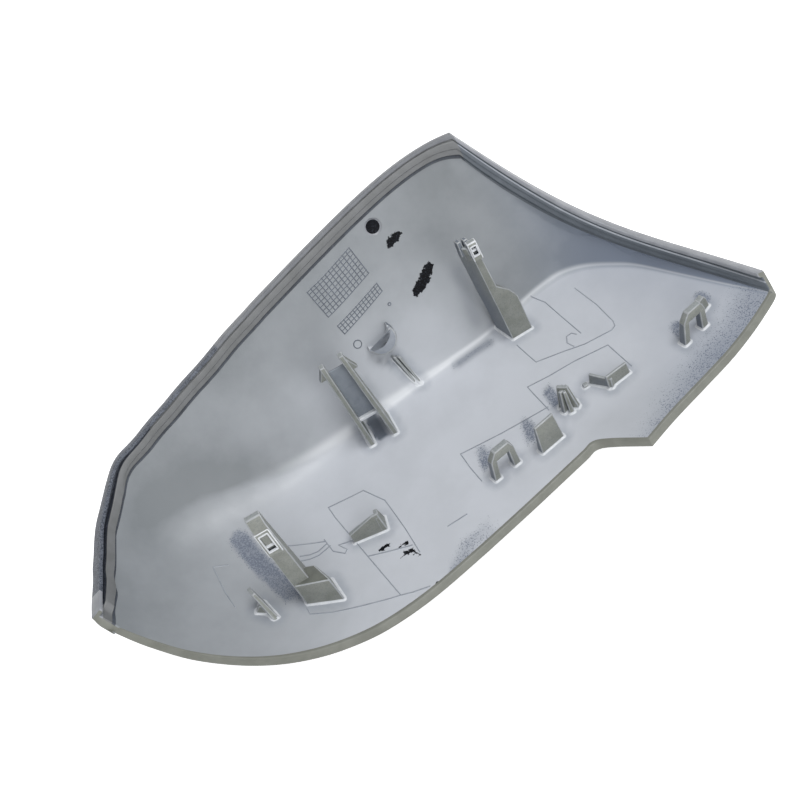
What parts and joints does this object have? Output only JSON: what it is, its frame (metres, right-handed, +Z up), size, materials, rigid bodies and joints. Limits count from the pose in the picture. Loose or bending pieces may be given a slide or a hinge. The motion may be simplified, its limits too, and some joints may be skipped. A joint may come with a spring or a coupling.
{
  "type": "wing mirror cover",
  "caption": "Moulded left wing mirror cover, seen from inside, with two tall hooks, a snap pair, a sealing rim and small locating clips.",
  "frame": {"origin": "centre of the outer box in plan, at the floor that the cover rests on", "axes": "+X along the length towards the pointed inboard end, +Y towards the wall that carries the date grids, +Z up, within 3 degrees of the way the clips stand"},
  "size_m": [0.2493, 0.13, 0.0708],
  "materials": {
    "painted_abs": "grey primer and paint overspray on moulded plastic, semi-gloss"
  },
  "bodies": {
    "root": {"cover": "painted_abs"}
  },
  "joints": []
}
